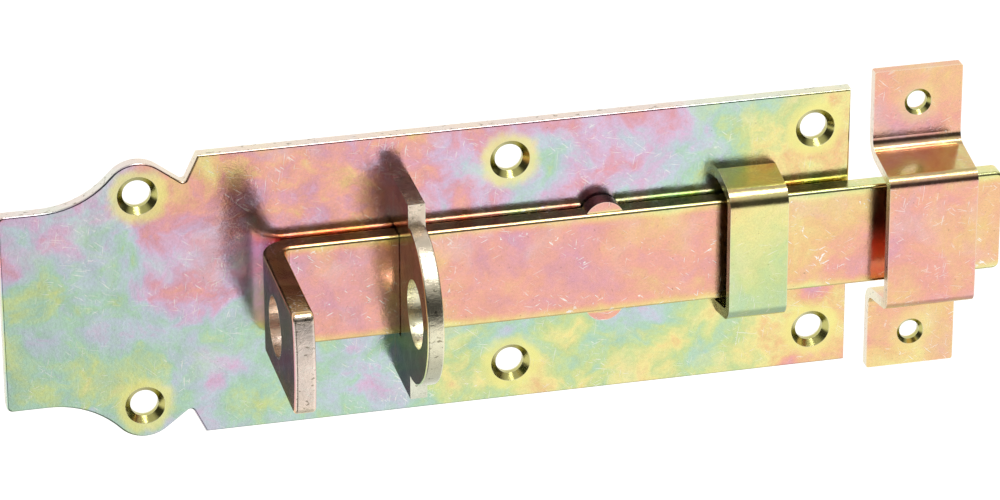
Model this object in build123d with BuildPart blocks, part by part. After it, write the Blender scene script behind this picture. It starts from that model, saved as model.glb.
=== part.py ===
"""Padlock barrel bolt of yellow-passivated sheet and flat bar, for a door or gate.

Millimetres. The origin is the middle of the back plate's rear face. The plate stands in the XZ plane
with its rear face on Y = 0 and its front towards -Y, +Z is up, and the bolt is thrown towards +X.
The bolt is drawn where it enters its keep; it slides left and right of there.
"""

import os
from math import cos, radians, sin, sqrt

from build123d import *

# Back plate
PLATE_LENGTH = 200.0
PLATE_HEIGHT = 70.0
PLATE_THICKNESS = 3.0
TAIL_HEIGHT = 49.0
STEP_X = -54.0
EAR_X = -68.0
EAR_Z = 26.5
EAR_RADIUS = 8.0
TAIL_CURVE_RADIUS = 22.0
EAR_TANGENT_ANGLE = 50.0
NOTCH = (-57.2, 28.3)
NOTCH_RADIUS = 0.9
TAIL_CORNER_RADIUS = 1.5
SHEARED_EDGE_RADIUS = 0.5

# Screw holes in the plate, for 5 mm countersunk wood screws
SCREW_HOLE_RADIUS = 3.3
SCREW_SINK_RADIUS = 4.7
MIDDLE_HOLE_X = 18.5
END_HOLE_X = 91.5
HOLE_ROW_Z = 26.0

# Bolt: flat bar with its tail end turned out into a padlock ear
BAR_WIDTH = 25.0
BAR_THICKNESS = 5.0
BOLT_BACK_Y = -3.8
BOLT_FRONT_Y = BOLT_BACK_Y - BAR_THICKNESS
BOLT_END_X = 136.0
BOLT_EAR_X = -41.0
BOLT_EAR_TIP_Y = -45.0
BEND_INNER_RADIUS = 2.0
BEND_OUTER_RADIUS = BEND_INNER_RADIUS + BAR_THICKNESS
BAR_EDGE_RADIUS = 0.8
BOLT_NOSE_RADIUS = 1.6
EAR_CROWN = 1.5
EAR_CORNER_RADIUS = 2.0
LUG_X = 39.7
LUG_RADIUS = 4.8
LUG_HEIGHT = 2.6
LUG_THICKNESS = 4.2

# Padlock holes, which face each other along X
BOLT_EYE_Y = -23.0
BOLT_EYE_RADIUS = 7.0
STAPLE_EYE_Y = -24.5
STAPLE_EYE_RADIUS = 8.0

# Staple: upright plate that straddles the bolt
STAPLE_X = -9.0
STAPLE_THICKNESS = 4.0
STAPLE_HALF_HEIGHT = 24.5
SHOULDER_Y = -18.5
STAPLE_NOSE_RADIUS = 19.0
WINDOW_HALF_HEIGHT = 13.1
WINDOW_Y = -9.4
STAPLE_TENON_LOW_Z = 15.0
STAPLE_TENON_HIGH_Z = 21.0

# Guide loop: strap bridged over the bolt
LOOP_X = 68.0
LOOP_WIDTH = 14.0
LOOP_THICKNESS = 2.5
LOOP_FOOT_Z = 18.2
LOOP_FRONT_Z = 16.0
LOOP_FRONT_Y = -14.5
LOOP_BEND_RADIUS = 4.5
LOOP_TENON_WIDTH = 8.0

# Keep: hat-shaped strap for the door frame
KEEP_X = 105.8
KEEP_WIDTH = 21.5
KEEP_THICKNESS = 2.5
KEEP_HALF_HEIGHT = 38.3
KEEP_FOOT_Z = 19.2
KEEP_FRONT_Z = 16.6
KEEP_FRONT_Y = -16.5
KEEP_BEND_RADIUS = 2.8
KEEP_HOLE_Z = 29.8
KEEP_HOLE_RADIUS = 2.4
KEEP_SINK_RADIUS = 3.3
KEEP_CORNER_RADIUS = 0.6

PLATE_FRONT = Plane.XZ.offset(PLATE_THICKNESS)
KEEP_FLANGE_FRONT = Plane.XZ.offset(KEEP_THICKNESS)


def plate_outline_points():
    """Corner and tangent points of the plate's upper edge, from the tail to the front end."""
    tail_z = TAIL_HEIGHT / 2
    reach = TAIL_CURVE_RADIUS + EAR_RADIUS
    rise = tail_z + TAIL_CURVE_RADIUS - EAR_Z
    curve_x = EAR_X - sqrt(reach**2 - rise**2)
    share = EAR_RADIUS / reach
    meet = (EAR_X + (curve_x - EAR_X) * share, EAR_Z + rise * share)
    angle = radians(EAR_TANGENT_ANGLE)
    leave = (EAR_X + EAR_RADIUS * cos(angle), EAR_Z + EAR_RADIUS * sin(angle))
    return (curve_x, tail_z), meet, leave


def staple_slots():
    """Centres of the two slots in the plate that hold the staple's tenons, in XZ."""
    tenon_z = (STAPLE_TENON_LOW_Z + STAPLE_TENON_HIGH_Z) / 2
    x = STAPLE_X + STAPLE_THICKNESS / 2
    return [(x, tenon_z), (x, -tenon_z)]


def loop_slots():
    """Centres of the two slots in the plate that hold the guide loop's tenons, in XZ."""
    tenon_z = LOOP_FOOT_Z - LOOP_THICKNESS / 2
    x = LOOP_X + LOOP_WIDTH / 2
    return [(x, tenon_z), (x, -tenon_z)]


def make_back_plate():
    """Pressed plate: straight body, narrower tail and a rounded ear at each tail screw."""
    half_length = PLATE_LENGTH / 2
    half_height = PLATE_HEIGHT / 2
    curve_start, meet, leave = plate_outline_points()
    with BuildPart() as plate:
        with BuildSketch(Plane.XZ):
            with BuildLine():
                Line((-half_length, 0), (-half_length, curve_start[1]))
                Line((-half_length, curve_start[1]), curve_start)
                RadiusArc(curve_start, meet, -TAIL_CURVE_RADIUS)
                RadiusArc(meet, leave, EAR_RADIUS)
                Polyline(leave, NOTCH, (STEP_X, half_height), (half_length, half_height), (half_length, 0))
                mirror(about=Plane.XZ)
            make_face()
        extrude(amount=PLATE_THICKNESS)
        uprights = plate.edges().filter_by(Axis.Y)
        fillet(uprights.filter_by(lambda edge: abs(edge.center().X - NOTCH[0]) < 0.1), NOTCH_RADIUS)
        tail_corners = plate.edges().filter_by(Axis.Y).group_by(Axis.X)[0]
        fillet(tail_corners, TAIL_CORNER_RADIUS)
        fillet(plate.faces().sort_by(Axis.Y)[0].edges(), SHEARED_EDGE_RADIUS)
        with Locations(PLATE_FRONT):
            with Locations(
                (EAR_X, EAR_Z),
                (EAR_X, -EAR_Z),
                (MIDDLE_HOLE_X, HOLE_ROW_Z),
                (MIDDLE_HOLE_X, -HOLE_ROW_Z),
                (END_HOLE_X, HOLE_ROW_Z),
                (END_HOLE_X, -HOLE_ROW_Z),
            ):
                CounterSinkHole(SCREW_HOLE_RADIUS, SCREW_SINK_RADIUS, counter_sink_angle=90)
        with BuildSketch(Plane.XZ):
            with Locations(*staple_slots()):
                Rectangle(STAPLE_THICKNESS, STAPLE_TENON_HIGH_Z - STAPLE_TENON_LOW_Z)
            with Locations(*loop_slots()):
                Rectangle(LOOP_TENON_WIDTH, LOOP_THICKNESS)
        extrude(amount=PLATE_THICKNESS, mode=Mode.SUBTRACT)
    return plate


def make_bolt():
    """Flat bar bent outwards into a padlock ear, with a stop lug on its top and bottom edges."""
    half_width = BAR_WIDTH / 2
    ear_inner_x = BOLT_EAR_X + BAR_THICKNESS
    with BuildPart() as bolt:
        with BuildSketch(Plane.XY.offset(-half_width)) as bar:
            with BuildLine():
                Polyline(
                    (BOLT_END_X, BOLT_BACK_Y),
                    (BOLT_EAR_X, BOLT_BACK_Y),
                    (BOLT_EAR_X, BOLT_EAR_TIP_Y),
                    (ear_inner_x, BOLT_EAR_TIP_Y),
                    (ear_inner_x, BOLT_FRONT_Y),
                    (BOLT_END_X, BOLT_FRONT_Y),
                    close=True,
                )
            make_face()
            fillet(bar.vertices().sort_by_distance((BOLT_EAR_X, BOLT_BACK_Y))[0], BEND_OUTER_RADIUS)
            fillet(bar.vertices().sort_by_distance((ear_inner_x, BOLT_FRONT_Y))[0], BEND_INNER_RADIUS)
        extrude(amount=BAR_WIDTH)
        with BuildSketch(Plane.YZ.offset(BOLT_EAR_X)):
            with BuildLine():
                crown_y = BOLT_EAR_TIP_Y + EAR_CROWN
                ThreePointArc((crown_y, half_width), (BOLT_EAR_TIP_Y, 0), (crown_y, -half_width))
                Polyline((crown_y, -half_width), (0, -half_width), (0, half_width), (crown_y, half_width))
            make_face()
        extrude(amount=BOLT_END_X - BOLT_EAR_X, mode=Mode.INTERSECT)
        fillet(bolt.edges().filter_by(Axis.X).group_by(Axis.Y)[0], EAR_CORNER_RADIUS)
        fillet(bolt.edges().filter_by(Axis.Y).group_by(Axis.X)[-1], BOLT_NOSE_RADIUS)
        side_faces = bolt.faces().filter_by(Axis.Z)
        fillet(side_faces.edges().filter_by(lambda edge: edge.length > BEND_INNER_RADIUS), BAR_EDGE_RADIUS)
        lug_z = half_width + LUG_HEIGHT - LUG_RADIUS
        with BuildSketch(Plane.XZ.offset(-BOLT_BACK_Y)):
            with Locations((LUG_X, lug_z), (LUG_X, -lug_z)):
                Circle(LUG_RADIUS)
        extrude(amount=LUG_THICKNESS)
        with BuildSketch(Plane.YZ.offset(BOLT_EAR_X)):
            with Locations((BOLT_EYE_Y, 0)):
                Circle(BOLT_EYE_RADIUS)
        extrude(amount=BAR_THICKNESS, mode=Mode.SUBTRACT)
    return bolt


def make_staple():
    """Upright padlock plate with a window for the bolt and two tenons riveted into the back plate."""
    with BuildPart() as staple:
        with BuildSketch(Plane.YZ.offset(STAPLE_X)):
            with BuildLine():
                Polyline(
                    (-PLATE_THICKNESS, WINDOW_HALF_HEIGHT),
                    (-PLATE_THICKNESS, STAPLE_HALF_HEIGHT),
                    (SHOULDER_Y, STAPLE_HALF_HEIGHT),
                    (SHOULDER_Y, STAPLE_NOSE_RADIUS),
                )
                ThreePointArc(
                    (SHOULDER_Y, STAPLE_NOSE_RADIUS),
                    (SHOULDER_Y - STAPLE_NOSE_RADIUS, 0),
                    (SHOULDER_Y, -STAPLE_NOSE_RADIUS),
                )
                Polyline(
                    (SHOULDER_Y, -STAPLE_NOSE_RADIUS),
                    (SHOULDER_Y, -STAPLE_HALF_HEIGHT),
                    (-PLATE_THICKNESS, -STAPLE_HALF_HEIGHT),
                    (-PLATE_THICKNESS, -WINDOW_HALF_HEIGHT),
                    (WINDOW_Y, -WINDOW_HALF_HEIGHT),
                    (WINDOW_Y, WINDOW_HALF_HEIGHT),
                    (-PLATE_THICKNESS, WINDOW_HALF_HEIGHT),
                )
            make_face()
            with Locations((STAPLE_EYE_Y, 0)):
                Circle(STAPLE_EYE_RADIUS, mode=Mode.SUBTRACT)
        extrude(amount=STAPLE_THICKNESS)
        nose_edges = staple.edges().filter_by(GeomType.CIRCLE).filter_by(
            lambda edge: edge.radius > STAPLE_EYE_RADIUS + 1
        )
        fillet(nose_edges, SHEARED_EDGE_RADIUS)
        with BuildSketch(Plane.XZ):
            with Locations(*staple_slots()):
                Rectangle(STAPLE_THICKNESS, STAPLE_TENON_HIGH_Z - STAPLE_TENON_LOW_Z)
        extrude(amount=PLATE_THICKNESS)
    return staple


def strap_section(points, thickness, bend_radius):
    """Closed section of a bent strap whose front side follows the given points."""
    with BuildSketch() as section:
        with BuildLine():
            front = FilletPolyline(*points, radius=bend_radius)
            offset(front, amount=thickness, side=Side.LEFT)
        make_face()
    return section.sketch


def make_guide_loop():
    """Strap bridged over the bolt near the front end of the plate, riveted through it."""
    path = [
        (-PLATE_THICKNESS, LOOP_FOOT_Z),
        (LOOP_FRONT_Y, LOOP_FRONT_Z),
        (LOOP_FRONT_Y, -LOOP_FRONT_Z),
        (-PLATE_THICKNESS, -LOOP_FOOT_Z),
    ]
    with BuildPart() as loop:
        with BuildSketch(Plane.YZ.offset(LOOP_X)):
            add(strap_section(path, LOOP_THICKNESS, LOOP_BEND_RADIUS))
        extrude(amount=LOOP_WIDTH)
        split(bisect_by=PLATE_FRONT, keep=Keep.TOP)
        with BuildSketch(Plane.XZ):
            with Locations(*loop_slots()):
                Rectangle(LOOP_TENON_WIDTH, LOOP_THICKNESS)
        extrude(amount=PLATE_THICKNESS)
    return loop


def make_keep():
    """Hat-shaped strap that the bolt enters, with one screw hole in each flange."""
    path = [
        (-KEEP_THICKNESS, KEEP_HALF_HEIGHT),
        (-KEEP_THICKNESS, KEEP_FOOT_Z),
        (KEEP_FRONT_Y, KEEP_FRONT_Z),
        (KEEP_FRONT_Y, -KEEP_FRONT_Z),
        (-KEEP_THICKNESS, -KEEP_FOOT_Z),
        (-KEEP_THICKNESS, -KEEP_HALF_HEIGHT),
    ]
    with BuildPart() as keep:
        with BuildSketch(Plane.YZ.offset(KEEP_X)):
            add(strap_section(path, KEEP_THICKNESS, KEEP_BEND_RADIUS))
        extrude(amount=KEEP_WIDTH)
        flange_ends = keep.edges().filter_by(Axis.Y).group_by(Axis.Z)
        fillet(flange_ends[0] + flange_ends[-1], KEEP_CORNER_RADIUS)
        with Locations(KEEP_FLANGE_FRONT):
            with Locations(
                (KEEP_X + KEEP_WIDTH / 2, KEEP_HOLE_Z),
                (KEEP_X + KEEP_WIDTH / 2, -KEEP_HOLE_Z),
            ):
                CounterSinkHole(
                    KEEP_HOLE_RADIUS, KEEP_SINK_RADIUS, depth=KEEP_THICKNESS, counter_sink_angle=90
                )
    return keep


os.makedirs("parts", exist_ok=True)

back_plate = make_back_plate()
back_plate.part.label = "back_plate"
export_step(back_plate.part, "parts/back_plate.step")

bolt = make_bolt()
bolt.part.label = "bolt"
export_step(bolt.part, "parts/bolt.step")

staple = make_staple()
staple.part.label = "staple"
export_step(staple.part, "parts/staple.step")

guide_loop = make_guide_loop()
guide_loop.part.label = "guide_loop"
export_step(guide_loop.part, "parts/guide_loop.step")

keep = make_keep()
keep.part.label = "keep"
export_step(keep.part, "parts/keep.step")
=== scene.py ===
import math

import bpy
from mathutils import Matrix, Vector

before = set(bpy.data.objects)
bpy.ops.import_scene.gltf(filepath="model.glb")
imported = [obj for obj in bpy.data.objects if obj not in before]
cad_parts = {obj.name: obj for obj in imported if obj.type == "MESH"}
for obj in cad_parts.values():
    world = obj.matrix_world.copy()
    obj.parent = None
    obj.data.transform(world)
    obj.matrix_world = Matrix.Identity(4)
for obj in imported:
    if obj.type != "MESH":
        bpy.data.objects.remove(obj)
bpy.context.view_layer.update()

# Looks of the padlock barrel bolt: yellow-passivated zinc, soft studio light and the camera.
# The materials work in millimetres: object coordinates, in metres, are multiplied by MM first.
MM = 1000.0

# Camera: a long lens from the left of the bolt and above it
IMAGE_WIDTH = 1000
FOCAL_PIXELS = 5000.0
SENSOR_WIDTH = 36.0
CAMERA_PLACE = (-0.2291, -1.0177, 0.4976)
CAMERA_FORWARD = (0.21224, 0.87855, -0.42791)
CAMERA_UP = (0.10437, 0.41500, 0.90382)

# Colours of the passivated film as it thickens, as (position, colour)
FILM_COLOURS = (
    (0.00, (0.93, 0.84, 0.36)),
    (0.13, (0.93, 0.62, 0.30)),
    (0.26, (0.92, 0.45, 0.36)),
    (0.38, (0.80, 0.40, 0.48)),
    (0.50, (0.74, 0.54, 0.74)),
    (0.62, (0.58, 0.68, 0.76)),
    (0.74, (0.48, 0.72, 0.55)),
    (0.87, (0.64, 0.77, 0.36)),
    (1.00, (0.93, 0.84, 0.36)),
)
BARE_ZINC = (0.92, 0.88, 0.74)
SCRATCHED_ZINC = (1.0, 0.98, 0.93)
DARK_FILM = (0.16, 0.13, 0.07)
HALO_FILM = (0.90, 0.85, 0.30)
CONE_FILM = (0.55, 0.52, 0.18)

# Variation of the film's thickness as (size in millimetres, share, noise detail)
FILM_LAYERS = (
    (30.0, 0.9, 2.0),
    (11.0, 0.75, 3.0),
    (3.5, 0.30, 3.0),
    (0.9, 0.10, 3.0),
)

# Scratches as (angle to X in degrees, length and width in millimetres, noise threshold)
SCRATCHES = (
    (24.0, 3.6, 0.36, 0.71),
    (-40.0, 3.0, 0.32, 0.72),
    (82.0, 4.2, 0.30, 0.72),
    (-12.0, 5.0, 0.30, 0.73),
)

# The bolt in millimetres: its padlock eye, the tip of its ear and the end of its bar
BOLT_EYE_Y = -23.0
BOLT_EYE_RADIUS = 7.0
BOLT_EAR_TIP_Y = -45.0
BOLT_END_X = 136.0

# Screw holes as (x, distance from the centre line) in millimetres, and the radius of the sink
PLATE_HOLES = ((-68.0, 26.5), (18.5, 26.0), (91.5, 26.0))
PLATE_SINK = 4.7
KEEP_HOLES = ((116.55, 29.8),)
KEEP_SINK = 3.3

# Key light: where it stands, its size in metres and its power in watts
KEY_PLACE = (0.2, -0.35, 1.3)
KEY_SIZE = 0.6
KEY_POWER = 6.0

# Floor: half its width and its height, in metres, and how brightly it glows
FLOOR_HALF = 8.0
FLOOR_LEVEL = -0.45
FLOOR_GLOW = 0.55


class Shader:
    """A material's node tree under construction: each method adds a node and returns its output."""

    def __init__(self, material):
        self.tree = material.node_tree
        self.nodes = material.node_tree.nodes

    def put(self, socket, value):
        """Links a socket's value to another socket, or sets a constant on it."""
        if isinstance(value, bpy.types.NodeSocket):
            self.tree.links.new(value, socket)
        else:
            socket.default_value = value

    def math(self, operation, a, b=0.0, clamp=False):
        node = self.nodes.new("ShaderNodeMath")
        node.operation = operation
        node.use_clamp = clamp
        self.put(node.inputs[0], a)
        self.put(node.inputs[1], b)
        return node.outputs[0]

    def vector_math(self, operation, a, b, output="Vector"):
        node = self.nodes.new("ShaderNodeVectorMath")
        node.operation = operation
        self.put(node.inputs[0], a)
        self.put(node.inputs[1], b)
        return node.outputs[output]

    def turned(self, vector, angles):
        node = self.nodes.new("ShaderNodeMapping")
        self.put(node.inputs["Vector"], vector)
        node.inputs["Rotation"].default_value = angles
        return node.outputs[0]

    def split(self, vector):
        node = self.nodes.new("ShaderNodeSeparateXYZ")
        self.put(node.inputs[0], vector)
        return node.outputs

    def noise(self, vector, size, detail=3.0, rough=0.55, output="Fac"):
        """Noise with features about size millimetres across."""
        node = self.nodes.new("ShaderNodeTexNoise")
        self.put(node.inputs["Vector"], vector)
        node.inputs["Scale"].default_value = 1.0 / size
        node.inputs["Detail"].default_value = detail
        node.inputs["Roughness"].default_value = rough
        return node.outputs[output]

    def span(self, value, low, high, to_low=0.0, to_high=1.0):
        node = self.nodes.new("ShaderNodeMapRange")
        node.interpolation_type = "SMOOTHSTEP"
        self.put(node.inputs["Value"], value)
        node.inputs["From Min"].default_value = low
        node.inputs["From Max"].default_value = high
        node.inputs["To Min"].default_value = to_low
        node.inputs["To Max"].default_value = to_high
        return node.outputs["Result"]

    def mix(self, share, a, b):
        node = self.nodes.new("ShaderNodeMix")
        node.data_type = "RGBA"
        self.put(node.inputs[0], share)
        self.put(node.inputs[6], a if isinstance(a, bpy.types.NodeSocket) else (*a, 1.0))
        self.put(node.inputs[7], b if isinstance(b, bpy.types.NodeSocket) else (*b, 1.0))
        return node.outputs[2]

    def ramp(self, value, stops):
        node = self.nodes.new("ShaderNodeValToRGB")
        self.put(node.inputs["Fac"], value)
        elements = node.color_ramp.elements
        elements[0].position, elements[0].color = stops[0][0], (*stops[0][1], 1.0)
        elements[1].position, elements[1].color = stops[-1][0], (*stops[-1][1], 1.0)
        for position, colour in stops[1:-1]:
            elements.new(position).color = (*colour, 1.0)
        return node.outputs["Color"]


def edge_mask(shader, radius_mm):
    """How far the surface turns within the radius: 0 on flats, 1 along sharp edges."""
    bevel = shader.nodes.new("ShaderNodeBevel")
    bevel.samples = 6
    bevel.inputs["Radius"].default_value = radius_mm / MM
    geometry = shader.nodes.new("ShaderNodeNewGeometry")
    dot = shader.vector_math("DOT_PRODUCT", bevel.outputs["Normal"], geometry.outputs["Normal"], "Value")
    return shader.span(dot, 0.99, 0.86)


def facing(shader, axis):
    """1 where the surface faces along the axis (0 X, 1 Y, 2 Z), either way, and 0 where it lies along it."""
    geometry = shader.nodes.new("ShaderNodeNewGeometry")
    part = shader.split(geometry.outputs["Normal"])[axis]
    return shader.span(shader.math("ABSOLUTE", part), 0.55, 0.80)


def hole_distance(shader, true_place, holes):
    """Distance in the XZ plane to the nearest of the screw holes, in millimetres."""
    x, _, z = shader.split(true_place)
    across = shader.math("ABSOLUTE", z)
    nearest = None
    for hole_x, hole_z in holes:
        side = shader.math("POWER", shader.math("SUBTRACT", x, hole_x), 2.0)
        rise = shader.math("POWER", shader.math("SUBTRACT", across, hole_z), 2.0)
        distance = shader.math("SQRT", shader.math("ADD", side, rise))
        nearest = distance if nearest is None else shader.math("MINIMUM", nearest, distance)
    return nearest


def scratch_lines(shader, place, angle, length, width, threshold):
    """Short straight scratches across the XZ plane, all at one angle to X in degrees."""
    along = shader.turned(place, (0.0, math.radians(angle), 0.0))
    stretched = shader.vector_math("MULTIPLY", along, (1.0 / length, 1.0 / width, 1.0 / width))
    field = shader.noise(stretched, 1.0, detail=1.0, rough=0.3)
    return shader.span(field, threshold, threshold + 0.03)


def plate_film(shader, place):
    """Pink above and green below, bluish green on the tail, turning to yellow at the right end."""
    x, _, z = shader.split(place)
    film = shader.math("ADD", shader.math("MULTIPLY", x, 0.0018), 0.53)
    film = shader.math("SUBTRACT", film, shader.math("MULTIPLY", z, 0.0066))
    right_end = shader.math("MULTIPLY", shader.span(x, 36.0, 84.0), shader.span(z, -22.0, 14.0, 0.30, 0.44))
    film = shader.math("ADD", film, right_end)
    return shader.math("ADD", film, shader.span(x, -72.0, -48.0, 0.20, 0.0))


def bolt_film(shader, place):
    """Pink by the ear, salmon along the bar and on the lugs, yellow towards the bar's long edges."""
    x, _, z = shader.split(place)
    across = shader.math("ABSOLUTE", z)
    film = shader.span(across, 9.5, 12.4, 0.25, 0.04)
    film = shader.math("ADD", film, shader.span(across, 12.6, 13.2, 0.0, 0.20))
    film = shader.math("ADD", film, shader.span(x, -25.0, 5.0, 0.09, 0.0))
    return shader.math("SUBTRACT", film, shader.span(x, 72.0, 90.0, 0.0, 0.05))


def staple_film(shader, place):
    """Salmon at the top, yellow in the middle and bluish green at the bottom."""
    return shader.math("MULTIPLY", shader.split(place)[2], 0.0105)


def loop_film(shader, place):
    """Yellow at the top and green at the bottom."""
    film = shader.math("MULTIPLY", shader.split(place)[2], 0.0085)
    return shader.math("ADD", film, 0.92)


def keep_film(shader, place):
    """Salmon, and more orange on the lower flange and where the strap bends down to the flanges."""
    z = shader.split(place)[2]
    across = shader.math("ABSOLUTE", z)
    bend = shader.math("MULTIPLY", shader.span(across, 15.0, 17.0), shader.span(across, 22.0, 19.0))
    film = shader.span(across, 28.0, 38.0, 0.24, 0.18)
    film = shader.math("SUBTRACT", film, shader.span(z, -18.0, -26.0, 0.0, 0.10))
    return shader.math("SUBTRACT", film, shader.math("MULTIPLY", bend, 0.15))


def plate_cut(shader, place):
    """The plate's edges are sheared: every face but the front and the back."""
    return shader.math("SUBTRACT", 1.0, facing(shader, 1))


def staple_cut(shader, place):
    """The staple is stamped: every face but its two sides is sheared."""
    return shader.math("SUBTRACT", 1.0, facing(shader, 0))


def strap_cut(shader, place):
    """The straps are cut across: only the faces along X are sheared."""
    return facing(shader, 0)


def bolt_cut(shader, place):
    """Sheared faces of the bolt: the tip of the ear, the wall of its eye and the far end of the bar."""
    x, y, z = shader.split(place)
    near_tip = shader.span(y, BOLT_EAR_TIP_Y + 3.5, BOLT_EAR_TIP_Y + 2.0)
    tip = shader.math("MULTIPLY", near_tip, facing(shader, 1))
    side = shader.math("POWER", shader.math("SUBTRACT", y, BOLT_EYE_Y), 2.0)
    radius = shader.math("SQRT", shader.math("ADD", side, shader.math("POWER", z, 2.0)))
    on_ear = shader.span(y, -12.0, -14.0)
    wall = shader.math("MULTIPLY", shader.span(radius, BOLT_EYE_RADIUS + 0.5, BOLT_EYE_RADIUS + 0.1), on_ear)
    near_end = shader.span(x, BOLT_END_X - 2.0, BOLT_END_X - 1.0)
    end = shader.math("MULTIPLY", near_end, facing(shader, 0))
    return shader.math("MAXIMUM", tip, shader.math("MAXIMUM", wall, end))


def zinc(name, film_at, cut_at, pools, marks_share, seed, holes=(), sink=0.0, halo=0.0):
    """Yellow-passivated zinc: interference colours, mottling, scratches, worn edges, rough cut faces.

    film_at gives the film's thickness in turns of the colour sequence, and pools is how strongly it
    varies from place to place. cut_at marks the sheared faces. holes and sink give the screw holes,
    whose rims have a yellow halo of the given strength and whose countersinks are darker.
    """
    material = bpy.data.materials.new(name)
    material.use_nodes = True
    shader = Shader(material)
    bsdf = shader.nodes["Principled BSDF"]
    coordinates = shader.nodes.new("ShaderNodeTexCoord").outputs["Object"]
    true_place = shader.vector_math("MULTIPLY", coordinates, (MM, MM, MM))
    place = shader.vector_math("ADD", true_place, (seed * 137.0, seed * 71.0, seed * 93.0))

    # Film thickness: the part's own gradient, broad pools, streaks and fine mottling
    warp = shader.noise(place, 16.0, detail=3.0, output="Color")
    shift = shader.vector_math("MULTIPLY", warp, (15.0, 15.0, 15.0))
    warped = shader.vector_math("ADD", place, shift)
    film = film_at(shader, true_place)
    for size, share, detail in FILM_LAYERS:
        field = shader.math("SUBTRACT", shader.noise(warped, size, detail=detail), 0.5)
        film = shader.math("ADD", film, shader.math("MULTIPLY", field, share * pools))
    colour = shader.ramp(shader.math("FRACT", film), FILM_COLOURS)

    # Pale cloudy patches, where the film is thin, and dark specks
    clouds = shader.span(shader.noise(warped, 14.0, detail=4.0), 0.50, 0.72, 0.0, 0.22)
    colour = shader.mix(clouds, colour, BARE_ZINC)
    specks = shader.span(shader.noise(place, 0.8, detail=3.0, rough=0.7), 0.64, 0.74)
    colour = shader.mix(shader.math("MULTIPLY", specks, 0.45), colour, DARK_FILM)

    # Fine grain of the pickled and plated surface
    fine = shader.span(shader.noise(place, 0.55, detail=4.0, rough=0.8), 0.30, 0.70, 0.0, 0.30)
    colour = shader.mix(fine, colour, shader.mix(0.5, colour, DARK_FILM))

    # Fine scratches at several angles and small bright flakes, gathered in scuffed areas
    marks = None
    for angle, length, width, threshold in SCRATCHES:
        lines = scratch_lines(shader, place, angle, length, width, threshold)
        marks = lines if marks is None else shader.math("MAXIMUM", marks, lines)
    scuffed = shader.span(shader.noise(place, 12.0, detail=2.0), 0.42, 0.60, 0.15, 1.0)
    flakes = shader.span(shader.noise(warped, 1.9, detail=3.0, rough=0.6), 0.67, 0.71)
    marks = shader.math("MAXIMUM", marks, flakes)
    marks = shader.math("MULTIPLY", shader.math("MULTIPLY", marks, scuffed), marks_share, clamp=True)
    colour = shader.mix(marks, colour, SCRATCHED_ZINC)

    # Yellow halo round each screw hole, darker countersink
    if holes:
        distance = hole_distance(shader, true_place, holes)
        wobble = shader.math("MULTIPLY", shader.math("SUBTRACT", shader.noise(place, 4.0), 0.5), 4.0)
        rim = shader.span(shader.math("ADD", distance, wobble), sink + 3.5, sink + 0.5, 0.0, halo)
        colour = shader.mix(rim, colour, HALO_FILM)
        off_the_back = shader.span(shader.split(true_place)[1], -0.2, -0.6)
        inside = shader.math("MULTIPLY", shader.span(distance, sink + 0.1, sink - 0.2), off_the_back)
        colour = shader.mix(inside, colour, CONE_FILM)

    # Sheared faces: paler, torn and pitted
    cut = cut_at(shader, true_place)
    if holes:
        cut = shader.math("MULTIPLY", cut, shader.math("SUBTRACT", 1.0, inside))
    tears = shader.noise(shader.vector_math("MULTIPLY", place, (0.6, 1.0, 1.0)), 1.1, detail=4.0, rough=0.7)
    pits = shader.span(tears, 0.59, 0.67)
    sheared = shader.mix(shader.math("MULTIPLY", pits, 0.8), shader.mix(0.72, colour, BARE_ZINC), DARK_FILM)
    colour = shader.mix(cut, colour, sheared)

    # Edges rubbed pale
    wear = shader.math("MULTIPLY", edge_mask(shader, 0.5), 0.45)
    colour = shader.mix(wear, colour, BARE_ZINC)
    shader.put(bsdf.inputs["Base Color"], colour)

    bsdf.inputs["Metallic"].default_value = 1.0
    rough = shader.span(shader.noise(warped, 5.0, detail=3.0), 0.3, 0.7, 0.13, 0.22)
    rough = shader.math("ADD", rough, shader.math("MULTIPLY", marks, 0.06))
    rough = shader.math("ADD", rough, shader.math("MULTIPLY", cut, 0.08), clamp=True)
    shader.put(bsdf.inputs["Roughness"], rough)

    # Relief: slight waviness, grain and scratches, and torn pits on the sheared faces
    grain = shader.noise(place, 0.8, detail=3.0, rough=0.65)
    height = shader.math("MULTIPLY", shader.noise(place, 11.0, detail=1.0), 0.12)
    height = shader.math("ADD", height, shader.math("MULTIPLY", grain, 0.024))
    height = shader.math("SUBTRACT", height, shader.math("MULTIPLY", marks, 0.004))
    torn = shader.math("MULTIPLY", shader.math("MULTIPLY", tears, cut), 0.09)
    height = shader.math("SUBTRACT", height, torn)
    bump = shader.nodes.new("ShaderNodeBump")
    bump.inputs["Strength"].default_value = 0.8
    bump.inputs["Distance"].default_value = 1.0 / MM
    shader.put(bump.inputs["Height"], height)
    shader.put(bsdf.inputs["Normal"], bump.outputs["Normal"])
    return material


def dress(node, material):
    """Puts the material in the CAD node's material slots."""
    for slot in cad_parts[node].material_slots:
        slot.material = material


def matte(name, colour):
    """Plain matte material."""
    material = bpy.data.materials.new(name)
    material.use_nodes = True
    bsdf = material.node_tree.nodes["Principled BSDF"]
    bsdf.inputs["Base Color"].default_value = (*colour, 1.0)
    bsdf.inputs["Roughness"].default_value = 0.9
    return material


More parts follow.
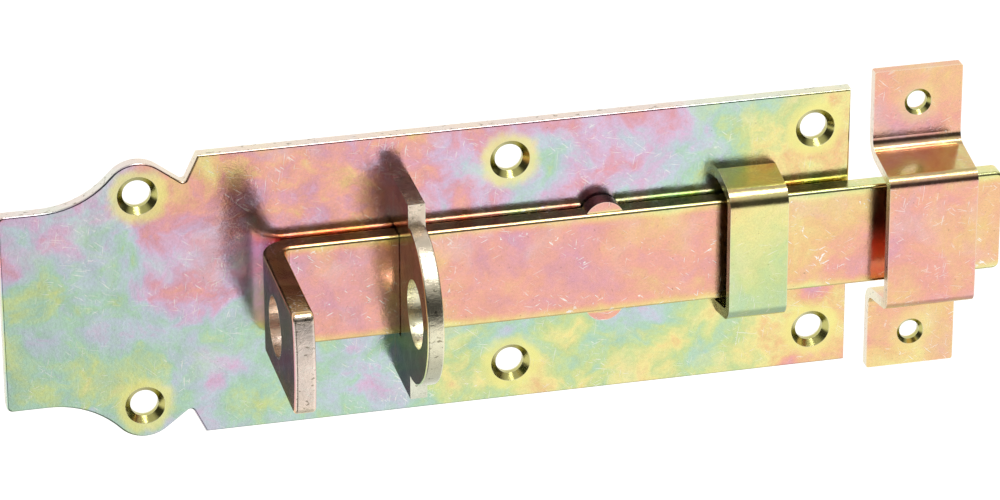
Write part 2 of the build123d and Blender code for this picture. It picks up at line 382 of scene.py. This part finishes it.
def add_floor():
    """Wide white floor well below the bolt. It glows, so that it stays evenly white.

    The metal mirrors the surround, not the floor.
    """
    mesh = bpy.data.meshes.new("floor")
    corners = [
        (-FLOOR_HALF, -FLOOR_HALF, FLOOR_LEVEL),
        (FLOOR_HALF, -FLOOR_HALF, FLOOR_LEVEL),
        (FLOOR_HALF, FLOOR_HALF, FLOOR_LEVEL),
        (-FLOOR_HALF, FLOOR_HALF, FLOOR_LEVEL),
    ]
    mesh.from_pydata(corners, [], [(0, 1, 2, 3)])
    floor = bpy.data.objects.new("floor", mesh)
    bpy.context.scene.collection.objects.link(floor)
    material = matte("floor_white", (0.92, 0.92, 0.91))
    bsdf = material.node_tree.nodes["Principled BSDF"]
    bsdf.inputs["Emission Color"].default_value = (1.0, 1.0, 1.0, 1.0)
    bsdf.inputs["Emission Strength"].default_value = FLOOR_GLOW
    mesh.materials.append(material)
    floor.visible_glossy = False


def add_area_light(name, place, target, size, power):
    """Square area light that points at the target."""
    data = bpy.data.lights.new(name, "AREA")
    data.size = size
    data.energy = power
    light = bpy.data.objects.new(name, data)
    light.location = place
    light.rotation_mode = "QUATERNION"
    light.rotation_quaternion = (Vector(target) - Vector(place)).to_track_quat("-Z", "Y")
    bpy.context.scene.collection.objects.link(light)


def smooth_range(tree, value, low, high, to_low, to_high):
    """Goes smoothly from to_low to to_high as the value goes from low to high."""
    node = tree.nodes.new("ShaderNodeMapRange")
    node.interpolation_type = "SMOOTHSTEP"
    tree.links.new(value, node.inputs["Value"])
    node.inputs["From Min"].default_value = low
    node.inputs["From Max"].default_value = high
    node.inputs["To Min"].default_value = to_low
    node.inputs["To Max"].default_value = to_high
    return node.outputs["Result"]


def combined(tree, operation, a, b):
    """The two values put together by the named operation."""
    node = tree.nodes.new("ShaderNodeMath")
    node.operation = operation
    tree.links.new(a, node.inputs[0])
    tree.links.new(b, node.inputs[1])
    return node.outputs[0]


def add_world():
    """Studio surround, which the metal mirrors.

    In front it is bright below, dim level with the bolt, fairly bright overhead, and dark below where
    a card stands left of the middle. Behind it is bright, and dims overhead. Straight down it dims a
    little too.
    """
    world = bpy.data.worlds.new("studio")
    bpy.context.scene.world = world
    world.use_nodes = True
    tree = world.node_tree
    split = tree.nodes.new("ShaderNodeSeparateXYZ")
    tree.links.new(tree.nodes.new("ShaderNodeTexCoord").outputs["Generated"], split.inputs[0])
    x, y, z = split.outputs

    # Brightness by direction: x to the right, y to the back and z up
    below = smooth_range(tree, z, -0.26, 0.02, 1.08, 0.05)
    above = smooth_range(tree, z, 0.42, 0.78, 0.0, 0.60)
    nadir = smooth_range(tree, z, -0.92, -0.70, 0.62, 1.0)
    card_left = smooth_range(tree, x, -0.55, -0.30, 0.0, 0.86)
    card_right = smooth_range(tree, x, -0.10, 0.20, 1.0, 0.0)
    card = combined(tree, "MULTIPLY", card_left, card_right)
    open_part = tree.nodes.new("ShaderNodeMath")
    open_part.operation = "SUBTRACT"
    open_part.inputs[0].default_value = 1.0
    tree.links.new(card, open_part.inputs[1])
    front = combined(tree, "ADD", combined(tree, "MULTIPLY", below, open_part.outputs[0]), above)
    front = combined(tree, "MULTIPLY", front, nadir)
    back = combined(tree, "MULTIPLY", smooth_range(tree, z, 0.50, 0.95, 1.0, 0.5), nadir)
    towards_front = smooth_range(tree, y, -0.2, 0.25, 1.0, 0.0)
    towards_back = smooth_range(tree, y, -0.2, 0.25, 0.0, 1.0)
    total = combined(
        tree,
        "ADD",
        combined(tree, "MULTIPLY", front, towards_front),
        combined(tree, "MULTIPLY", back, towards_back),
    )
    background = tree.nodes["Background"]
    background.inputs["Color"].default_value = (1.0, 0.99, 0.97, 1.0)
    tree.links.new(total, background.inputs["Strength"])


def add_camera():
    """Camera at the photograph's viewing angle."""
    data = bpy.data.cameras.new("camera")
    data.sensor_width = SENSOR_WIDTH
    data.lens = FOCAL_PIXELS / IMAGE_WIDTH * SENSOR_WIDTH
    camera = bpy.data.objects.new("camera", data)
    forward = Vector(CAMERA_FORWARD).normalized()
    right = forward.cross(Vector(CAMERA_UP)).normalized()
    up = right.cross(forward)
    turn = Matrix((right, up, -forward)).transposed()
    camera.matrix_world = Matrix.Translation(CAMERA_PLACE) @ turn.to_4x4()
    bpy.context.scene.collection.objects.link(camera)
    bpy.context.scene.camera = camera


plate = zinc("plate_zinc", plate_film, plate_cut, 1.0, 0.55, 1, PLATE_HOLES, PLATE_SINK, 0.75)
bolt = zinc("bolt_zinc", bolt_film, bolt_cut, 0.50, 1.0, 2)
staple = zinc("staple_zinc", staple_film, staple_cut, 0.35, 0.5, 3)
loop = zinc("loop_zinc", loop_film, strap_cut, 0.35, 0.4, 4)
keep = zinc("keep_zinc", keep_film, strap_cut, 0.50, 0.5, 5, KEEP_HOLES, KEEP_SINK, 0.3)
dress("back_plate", plate)
dress("bolt", bolt)
dress("staple", staple)
dress("guide_loop", loop)
dress("keep", keep)

add_camera()
add_floor()
add_world()
add_area_light("key", KEY_PLACE, (0, 0, 0), KEY_SIZE, KEY_POWER)
bpy.context.scene.view_settings.view_transform = "Standard"
